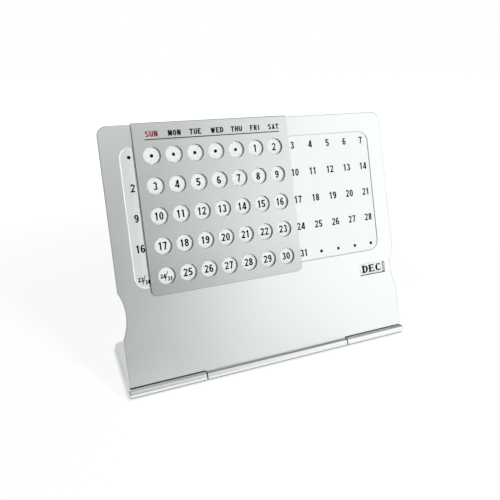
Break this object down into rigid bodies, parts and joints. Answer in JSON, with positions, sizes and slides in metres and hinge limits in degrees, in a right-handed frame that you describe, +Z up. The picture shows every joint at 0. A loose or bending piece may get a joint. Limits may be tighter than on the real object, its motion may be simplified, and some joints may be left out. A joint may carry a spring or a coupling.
{
  "type": "perpetual desk calendar",
  "caption": "Folding metal desk calendar: a hinged leaf with a sunk date panel, a punched sliding date mask and a month disc behind a window.",
  "frame": {"origin": "on the desk, at the middle of the part's footprint", "axes": "+X along the hinge to the viewer's right, +Y from the hinge back over the base, +Z up"},
  "size_m": [0.132, 0.0439, 0.1037],
  "materials": {
    "leaf_aluminium": "satin anodised",
    "slide_aluminium": "brushed and anodised",
    "pin_steel": "turned",
    "spring_steel": "hardened, dull",
    "disc_plastic": "printed sheet, matt",
    "glide_strip": "matt",
    "pad_rubber": "matt"
  },
  "bodies": {
    "stand": {"base_plate": "leaf_aluminium", "hinge_pin": "pin_steel", "foot_pad_1": "pad_rubber", "foot_pad_2": "pad_rubber", "foot_pad_3": "pad_rubber", "foot_pad_4": "pad_rubber"},
    "leaf": {"front_leaf": "leaf_aluminium", "pivot_stud": "pin_steel", "spring_washer": "spring_steel", "retaining_clip": "spring_steel"},
    "slide": {"date_slide": "slide_aluminium", "glide_left": "glide_strip", "glide_right": "glide_strip"},
    "month_wheel": {"month_disc": "disc_plastic"}
  },
  "joints": [
    {"name": "leaf_fold", "type": "hinge", "parent": "stand", "child": "leaf", "pos_m": [0, -0.02005, 0.0031], "axis": [1, 0, 0], "range_deg": [-62, 108]},
    {"name": "date_shift", "type": "slide", "parent": "leaf", "child": "slide", "axis": [1, 0, 0], "range_m": [-0.009, 0.045]},
    {"name": "month_turn", "type": "hinge", "parent": "leaf", "child": "month_wheel", "pos_m": [0.0382, -0.01029, 0.03315], "axis": [0, -0.9511, 0.309], "continuous": true}
  ]
}
